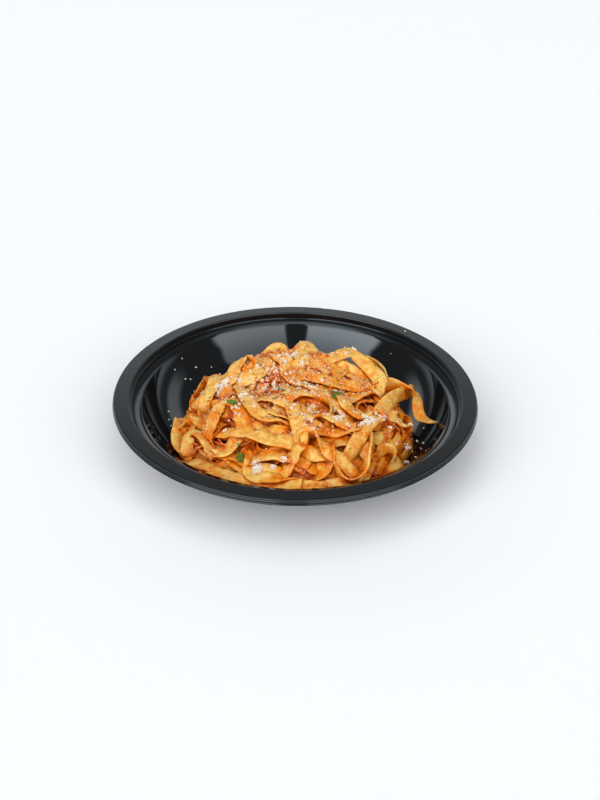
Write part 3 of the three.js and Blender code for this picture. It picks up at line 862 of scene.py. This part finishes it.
# ---------------------------------------------------------------- pasta
batches = lower_strands(drop_loose(5, 9, 74))
loose = [b.P[k][b.alive[k]] for b in batches if b.targets is None for k in range(len(b.P))]
placed = [b.P[k][b.alive[k]] for b in batches if b.targets is not None for k in range(len(b.P))]
low_v, low_n, low_f, low_t = ribbons_mesh(loose, 2, PLAIN_SECTION)
top_v, top_n, top_f, top_t = ribbons_mesh(placed, 3, WIDE_SECTION)
verts = np.concatenate([low_v, top_v])
verts[:, 2] = np.maximum(verts[:, 2], floor_height(np.hypot(verts[:, 0], verts[:, 1])) + 0.1)
faces = low_f + [[q + len(low_v) for q in f] for f in top_f]
tree = BVHTree.FromPolygons(verts.tolist(), faces)


def spread_round(points, outward, sides, taken, sources, count):
    """crowded() at some vertices of each ring, given to all of them."""
    rings = len(points) // sides
    P, N = points.reshape(rings, sides, 3)[:, taken], outward.reshape(rings, sides, 3)[:, taken]
    found = crowded(tree, P.reshape(-1, 3), N.reshape(-1, 3), 9.0, count).reshape(rings, len(taken))
    return np.stack([found[:, list(source)].mean(1) for source in sources], 1).ravel()


# How crowded each vertex is by pasta around it, and how deep it lies in the heap: both turn the colour darker and
# redder, partly pooled sauce and partly painted shade.
low_crease_sauce_and_shade = spread_round(low_v, low_n, 8, [2, 6], ((0, 1), (0,), (0,), (0,), (0, 1), (1,), (1,), (1,)), 8)
top_crease_sauce_and_shade = spread_round(top_v, top_n, 12, [2, 3, 4, 8, 9, 10], ((0, 5), (0,), (0,), (1,), (2,), (2,), (2, 3), (3,), (3,), (4,), (5,), (5,)), 14)
depth = np.clip((depth_in_heap(verts) - 1) / 12.0, 0, 1)
tone = np.concatenate([low_t, top_t])
dress = np.stack([tone[:, 0], depth, np.concatenate([low_crease_sauce_and_shade, top_crease_sauce_and_shade]), tone[:, 1]], 1)
strands = new_piece("pasta_strands", verts, faces, PASTA, colours=dress)
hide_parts("pasta_heap")


def core_mesh():
    rings, spokes = 26, 72
    verts = [(HEAP_X, HEAP_Y, float(core_height(np.array(HEAP_X), np.array(HEAP_Y))))]
    for r in range(1, rings + 1):
        a = 2 * np.pi * np.arange(spokes) / spokes
        reach = (heap_reach(a) - CORE_INSET) * min(r / rings, 0.9995)
        x, y = HEAP_X + reach * np.cos(a), HEAP_Y + reach * np.sin(a)
        z = core_height(x, y) - 1.0
        verts += list(zip(x, y, z))
    last = verts[-spokes:]
    verts += [(px, py, float(wall_height(math.hypot(px, py))) + 0.35) for px, py, _ in last]
    verts.append((HEAP_X, HEAP_Y, float(floor_height(math.hypot(HEAP_X, HEAP_Y))) + 0.35))
    faces = [[0, 1 + s, 1 + (s + 1) % spokes] for s in range(spokes)]
    for r in range(rings):
        i = 1 + r * spokes
        faces += [[i + s, i + spokes + s, i + spokes + (s + 1) % spokes, i + (s + 1) % spokes] for s in range(spokes)]
    i = 1 + rings * spokes
    faces += [[i + s, len(verts) - 1, i + (s + 1) % spokes] for s in range(spokes)]
    return verts, faces


core = new_piece("sauced_core", *core_mesh(), SAUCE)

# ---------------------------------------------------------------- toppings
UP, DOWN = Vector((0, 0, 1)), Vector((0, 0, -1))


def land(x, y):
    """Where something dropped at x, y comes to rest, and the surface's direction there."""
    place, normal, _, _ = tree.ray_cast(Vector((x, y, 80)), DOWN)
    if place is None:
        return None
    if normal.z < 0:
        normal = -normal
    return np.array(place), np.array(normal)


def ball(fine):
    """A unit icosahedron, divided once where fine."""
    g = (1 + 5 ** 0.5) / 2
    V = [(-1, g, 0), (1, g, 0), (-1, -g, 0), (1, -g, 0), (0, -1, g), (0, 1, g), (0, -1, -g), (0, 1, -g), (g, 0, -1), (g, 0, 1), (-g, 0, -1), (-g, 0, 1)]
    F = [(0, 11, 5), (0, 5, 1), (0, 1, 7), (0, 7, 10), (0, 10, 11), (1, 5, 9), (5, 11, 4), (11, 10, 2), (10, 7, 6), (7, 1, 8),
         (3, 9, 4), (3, 4, 2), (3, 2, 6), (3, 6, 8), (3, 8, 9), (4, 9, 5), (2, 4, 11), (6, 2, 10), (8, 6, 7), (9, 8, 1)]
    V = [np.array(v) / np.linalg.norm(v) for v in V]
    if fine:
        middle = {}

        def half(a, b):
            key = (min(a, b), max(a, b))
            if key not in middle:
                middle[key] = len(V)
                V.append((V[a] + V[b]) / np.linalg.norm(V[a] + V[b]))
            return middle[key]

        F = [t for a, b, c in F for ab, bc, ca in [(half(a, b), half(b, c), half(c, a))]
             for t in ((a, ab, ca), (b, bc, ab), (c, ca, bc), (ab, bc, ca))]
    return np.array(V), np.array(F)


BALLS = {False: ball(False), True: ball(True)}


def spin():
    q = rng.normal(size=4)
    w, x, y, z = q / np.linalg.norm(q)
    return np.array([[1 - 2 * (y * y + z * z), 2 * (x * y - z * w), 2 * (x * z + y * w)],
                     [2 * (x * y + z * w), 1 - 2 * (x * x + z * z), 2 * (y * z - x * w)],
                     [2 * (x * z - y * w), 2 * (y * z + x * w), 1 - 2 * (x * x + y * y)]])


class Bits:
    """Many small closed bodies that make up one piece."""

    def __init__(self):
        self.v, self.f, self.c, self.n = [], [], [], 0

    def add(self, verts, faces, tint=0.0):
        shade = rng.uniform()
        self.v.append(verts - np.array([0, 0, max(0.0, verts[:, 2].max() - HIGHEST)]))
        self.f.append(np.asarray(faces) + self.n)
        self.c.append(np.tile([tint, shade, 0], (len(verts), 1)))
        self.n += len(verts)

    def lump(self, place, size, fine=False, flat=1.0, rough=0.35, tint=0.0, normal=None):
        V, F = BALLS[fine]
        V = V * (1 + rough * rng.uniform(-1, 1, (len(V), 1))) * rng.uniform(0.55, 1.2, 3) * size
        V = V @ spin().T
        if flat != 1.0:
            n = np.array([0, 0, 1.0]) if normal is None else normal
            V = V - np.outer(V @ n, n) * (1 - flat)
        self.add(V + place, F, tint)

    def piece(self, name, mat, smooth=True):
        return new_piece(name, np.concatenate(self.v), np.concatenate(self.f).tolist(), mat, smooth, np.concatenate(self.c))


def scatter(bits, x, y, spread, count, small, large, fine_share=0.3, sink=0.25, **more):
    """Lumps strewn round x, y and resting on the pasta."""
    for _ in range(count):
        px, py = x + rng.normal() * spread, y + rng.normal() * spread
        size = small + (large - small) * rng.uniform() ** 2
        hit = land(px, py)
        if hit is None:
            continue
        place, normal = hit
        bits.lump(place + normal * size * (1 - sink), size, fine=rng.uniform() < fine_share, normal=normal, **more)


def clump(bits, x, y, radius, stain):
    """A loose lump of crumbs that cling together."""
    hit = land(x, y)
    if hit is None:
        return
    for _ in range(int(11 * radius ** 2) + 4):
        away = unit(rng.normal(size=3)) * radius * rng.uniform() ** 0.55
        at = hit[0] + away
        under = land(at[0], at[1])
        base = hit[0][2] if under is None else max(under[0][2], hit[0][2] - 0.8 * radius)
        size = rng.uniform(0.26, 0.66)
        at[2] = base + 0.55 * abs(away[2]) + 0.3 * size
        bits.lump(at, size, fine=rng.uniform() < 0.1, tint=np.clip(stain + 0.15 * rng.normal(), 0, 1))


cheese = Bits()
# x, y, spread, lumps, largest radius and how much sauce they took up, from the left to the right, then single lumps
for x, y, spread, count, large, stain in (
        (-47, -3, 2.2, 5, 3.0, 0.0), (-46, -4, 4.0, 8, 1.2, 0.3), (-31, -26, 3.5, 12, 1.8, 0.15), (-36, -38, 4.0, 8, 1.4, 0.4), (-22, 6, 6.0, 18, 1.6, 0.5),
        (-27, -8, 5.0, 14, 1.5, 0.6), (-1, 15, 5.0, 16, 2.0, 0.3), (20, 22, 4.0, 9, 2.2, 0.15), (-12, -6, 7.0, 22, 1.6, 0.45), (1, -15, 3.5, 10, 1.8, 0.4),
        (15, -17, 4.0, 9, 1.6, 0.45), (5, -40, 5.5, 18, 1.8, 0.35), (9, -54, 4.0, 6, 1.4, 0.4), (25, -43, 4.5, 16, 2.0, 0.3),
        (43, -40, 3.8, 16, 2.4, 0.05), (66, -23, 2.5, 5, 1.4, 0.2), (69, -36, 2.5, 4, 1.4, 0.1), (64, -49, 3.0, 5, 1.6, 0.1), (52, -30, 5.0, 10, 1.4, 0.4),
        (37, 28, 0.8, 2, 2.4, 0.0), (-21, -76, 1.0, 4, 3.2, 0.0), (-12, -76, 0.3, 1, 2.2, 0.0), (-6, -74, 0.3, 1, 1.9, 0.1)):
    for _ in range(count):
        clump(cheese, x + spread * rng.normal(), y + spread * rng.normal(), 0.5 + (large - 0.5) * rng.uniform() ** (1.5 if count > 4 else 0.3),
              stain + 0.2 * rng.normal())
for _ in range(2500):
    scatter(cheese, -2 + 33 * rng.normal(), -8 + 25 * rng.normal(), 0.8, 1, 0.18, 0.60, fine_share=0.05, tint=rng.uniform(0.2, 1.0))
# crumbs on the wall of the bowl and one on the rim
for x, y, size in ((-77, 54, 0.6), (-68, 56, 0.8), (-81, 44, 0.5), (-74, 44, 0.5), (-71, 46, 0.6), (-58, 62, 0.5), (-68, 39, 0.4), (-69, 34, 0.5),
                   (-68, 28, 0.5), (-82, 9, 0.5), (-71, 18, 0.6), (-81, 1, 0.4), (-79, -4, 0.5), (79, 2, 0.6), (77, -17, 0.7), (73, -28, 0.7),
                   (74, -41, 0.9), (65, 67, 0.5), (78, -30, 0.6), (80, -24, 0.6), (82, -6, 0.5)):
    cheese.lump(np.array([x, y, float(wall_height(math.hypot(x, y))) + 0.55 * size]), size, fine=True)
cheese.lump(np.array([75.0, 79.0, RIM_HEIGHT + 0.3]), 0.5, fine=True)
cheese.piece("cheese_crumbs", CHEESE, smooth=False)

tomato = Bits()
for x, y, count, size in ((-21, 22, 9, 1.9), (14, 19, 6, 1.8), (-6, -46, 5, 1.6), (-41, -47, 3, 1.3), (67, -9, 3, 1.3), (-14, -55, 3, 1.3),
                          (34, -30, 3, 1.4), (48, -20, 3, 1.3), (-28, -12, 3, 1.3), (18, -68, 3, 1.1), (-50, -50, 3, 1.1)):
    for _ in range(count):
        scatter(tomato, x, y, 2.0, 1, 0.5 * size, size, fine_share=1.0, sink=0.6, flat=0.4, rough=0.35, tint=rng.uniform(0.4, 1.0))
for _ in range(300):
    scatter(tomato, -2 + 34 * rng.normal(), -8 + 26 * rng.normal(), 0.5, 1, 0.3, 1.1, fine_share=0.2, sink=0.5, flat=0.6, rough=0.35,
            tint=rng.uniform() ** 2)
tomato.piece("tomato_bits", TOMATO)


def leaf(bits, x, y, turn, length, width, curl, dark=0.0):
    """A thin pointed leaf that lies on the pasta."""
    hit = land(x, y)
    if hit is None:
        return
    place, normal = hit
    ahead = np.array([math.cos(turn), math.sin(turn), 0])
    ahead = unit(ahead - normal * (ahead @ normal))
    aside = np.cross(normal, ahead)
    rows, sides = 7, 5
    t = np.linspace(0, 1, rows)[:, None]
    u = np.linspace(-1, 1, sides)[None]
    half = width * np.sin(np.pi * (0.06 + 0.9 * t)) ** 0.8
    rise = 0.25 + curl * (t - 0.4) ** 2 * length + 0.35 * np.abs(u) * half + 0.12 * np.sin(9 * t + 5 * u)
    top = place + ((t - 0.5) * length)[..., None] * ahead + (u * half)[..., None] * aside + rise[..., None] * normal
    under = top - 0.16 * normal
    V = np.concatenate([top.reshape(-1, 3), under.reshape(-1, 3)])
    n = rows * sides
    F = []
    for i in range(rows - 1):
        for j in range(sides - 1):
            a = i * sides + j
            F += [(a, a + sides, a + sides + 1), (a, a + sides + 1, a + 1)]
            F += [(n + a, n + a + sides + 1, n + a + sides), (n + a, n + a + 1, n + a + sides + 1)]
    edge = [j for j in range(sides)] + [i * sides + sides - 1 for i in range(1, rows)] + [n - 1 - j for j in range(1, sides)] \
        + [i * sides for i in range(rows - 2, 0, -1)]
    for a, b in zip(edge, edge[1:] + edge[:1]):
        F += [(a, b, n + b), (a, n + b, n + a)]
    bits.add(V, F, dark)


herbs = Bits()
# x, y, spread, count, length of the pieces and how dark they are: a torn leaf or two in each place
for x, y, spread, count, length, dark in (
        (24, -23, 1.4, 9, 3.6, 0.2), (27, -23, 1.4, 8, 3.2, 0.2), (25, -22, 0.8, 3, 6.0, 0.0), (-39, -29, 0.9, 5, 3.2, 0.3),
        (-36, -33, 0.9, 6, 3.2, 0.3), (-38, -31, 0.6, 2, 5.5, 0.0),
        (-33, -60, 0.5, 3, 3.4, 0.2), (-32, -65, 0.8, 7, 3.8, 0.1), (-31, -70, 1.0, 7, 3.2, 0.2),
        (-10, -15, 1.0, 6, 2.8, 0.8), (-7, -17, 1.0, 6, 2.6, 0.7), (-13, -30, 0.8, 2, 1.8, 0.7), (9, -12, 0.8, 2, 1.8, 0.7)):
    for _ in range(count):
        leaf(herbs, x + spread * rng.normal(), y + spread * rng.normal(), rng.uniform(0, 6.3), length * rng.uniform(0.5, 1.1),
             length * rng.uniform(0.16, 0.30), rng.uniform(0.2, 0.9), np.clip(dark + 0.25 * rng.normal(), 0, 1))
leaf(herbs, -31.5, -64, 1.75, 8.5, 1.7, 0.4, 0.0)
leaf(herbs, -30.5, -61, 1.2, 5.0, 1.2, 0.6, 0.1)
leaf(herbs, 25.5, -22.5, 0.3, 5.5, 1.5, 0.5, 0.0)
for _ in range(60):
    leaf(herbs, -2 + 36 * rng.normal(), -18 + 28 * rng.normal(), rng.uniform(0, 6.3), rng.uniform(0.7, 1.7), rng.uniform(0.2, 0.45), 0.2, 0.9)
herbs.piece("herb_flecks", HERB)

specks = Bits()
for _ in range(45):
    scatter(specks, 38 * rng.normal(), -16 + 30 * rng.normal(), 0.5, 1, 0.16, 0.34, fine_share=0.0, sink=0.4)
specks.piece("pepper_specks", PEPPER)


# ---------------------------------------------------------------- stage, light and camera
floor_mesh = bpy.data.meshes.new("floor")
floor_mesh.from_pydata([(-20, -20, 0), (20, -20, 0), (20, 20, 0), (-20, 20, 0)], [], [(0, 1, 2, 3)])
floor = bpy.data.objects.new("floor", floor_mesh)
bpy.context.scene.collection.objects.link(floor)
floor_mesh.materials.append(plain_material("floor_white", (0.89, 0.895, 0.905), 0.7))


def studio_world():
    """A white sweep round the horizon, a dim room above it and two large soft panels on the camera's side."""
    world = bpy.data.worlds.new("studio")
    world.use_nodes = True
    nodes, links = world.node_tree.nodes, world.node_tree.links
    back = nodes["Background"]
    place = nodes.new("ShaderNodeTexCoord")
    parts = nodes.new("ShaderNodeSeparateXYZ")
    links.new(place.outputs["Generated"], parts.inputs["Vector"])

    def calc(kind, a, b=None, c=None):
        n = nodes.new("ShaderNodeMath")
        n.operation = kind
        for k, v in enumerate((a, b, c)):
            if v is None:
                continue
            if isinstance(v, (int, float)):
                n.inputs[k].default_value = v
            else:
                links.new(v, n.inputs[k])
        return n.outputs[0]

    def ranged(value, lo, hi, a=0.0, b=1.0):
        n = nodes.new("ShaderNodeMapRange")
        n.interpolation_type = "SMOOTHSTEP"
        n.inputs["From Min"].default_value = lo
        n.inputs["From Max"].default_value = hi
        n.inputs["To Min"].default_value = a
        n.inputs["To Max"].default_value = b
        links.new(value, n.inputs["Value"])
        return n.outputs["Result"]

    x, y, z = parts.outputs
    deg = math.radians
    height = calc("ARCSINE", z)
    turn = calc("ABSOLUTE", calc("ARCTAN2", x, calc("MULTIPLY", y, -1.0)))
    side = ranged(x, -0.25, 0.25, 1.19, 0.81)
    outer = ranged(height, deg(32), deg(62), deg(66), deg(84))
    panel = calc("MULTIPLY", ranged(turn, deg(8), deg(10)), ranged(calc("SUBTRACT", turn, outer), deg(-3), deg(3), 1.0, 0.0))
    panel = calc("MULTIPLY", panel, calc("MULTIPLY", ranged(height, deg(13), deg(15)), ranged(height, deg(66), deg(74), 1.0, 0.0)))
    panel = calc("MULTIPLY", panel, ranged(height, deg(20), deg(60), 3.65, 1.75))
    back_half = ranged(turn, deg(100), deg(125))
    top_light = ranged(height, deg(54), deg(64), 0.0, 0.5)
    low_light = calc("MULTIPLY", ranged(height, deg(16), deg(21)), ranged(height, deg(27), deg(33), 1.05, 0.0))
    behind = calc("MULTIPLY", back_half, calc("ADD", top_light, low_light))
    overhead = ranged(height, deg(66), deg(74), 0.0, 1.25)
    behind = calc("MAXIMUM", behind, overhead)
    sweep = ranged(height, deg(5), deg(12), 0.85, 0.15)
    total = calc("MULTIPLY_ADD", calc("ADD", panel, behind), side, sweep)
    links.new(total, back.inputs["Strength"])
    back.inputs["Color"].default_value = (0.97, 0.985, 1.0, 1)
    bpy.context.scene.world = world


studio_world()

CENTRE = Vector((0, 0, RIM_HEIGHT * MM))
ELEVATION = math.radians(31.9)
ROLL = math.radians(0.88)
back = Vector((0, -math.cos(ELEVATION), math.sin(ELEVATION)))
lens = bpy.data.cameras.new("camera")
lens.lens = 50
lens.sensor_width = 36
lens.shift_x = 0.0057
lens.shift_y = -0.0122
lens.clip_end = 60
camera = bpy.data.objects.new("camera", lens)
camera.matrix_world = Matrix.Translation(CENTRE + 0.7 * back) @ (-back).to_track_quat("-Z", "Y").to_matrix().to_4x4() @ Matrix.Rotation(ROLL, 4, "Z")
bpy.context.scene.collection.objects.link(camera)
bpy.context.scene.camera = camera
bpy.context.scene.view_settings.view_transform = "Standard"
